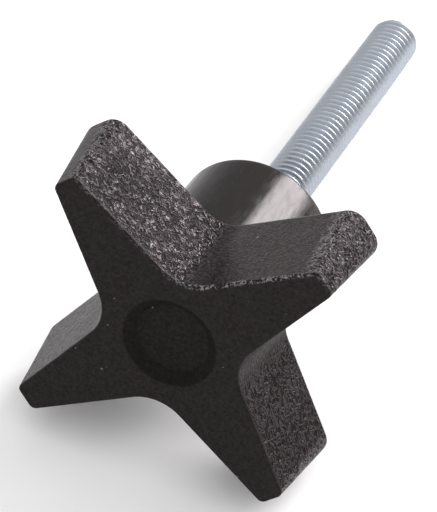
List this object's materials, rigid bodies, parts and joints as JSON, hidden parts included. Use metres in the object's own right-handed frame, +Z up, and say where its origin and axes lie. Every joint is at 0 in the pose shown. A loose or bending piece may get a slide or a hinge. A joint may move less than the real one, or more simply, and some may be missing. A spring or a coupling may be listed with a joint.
{
  "type": "star knob",
  "caption": "Star knob with tapered arms around a shallow recess, a round hub and a long threaded stud, for clamping or adjusting by hand.",
  "frame": {"origin": "on the floor, under the middle of the part's bounding box", "axes": "+Y runs level from the star's front face towards the stud's free end; +Z is up from the floor the knob lies on; the two arms on the floor are one each side, at -X and +X. The stud's axis dips 12.9 degrees below +Y, because the knob rests on the back corners of two arms and on the stud's end."},
  "size_m": [0.0542, 0.1194, 0.0548],
  "materials": {
    "star_head": "black moulded plastic, fine satin grain on the front face, coarse spark-eroded grain on the arm sides, smooth hub",
    "threaded_stud": "bright zinc-plated steel with a rolled thread"
  },
  "bodies": {
    "root": {"star_head": "star_head", "threaded_stud": "threaded_stud"}
  },
  "joints": []
}
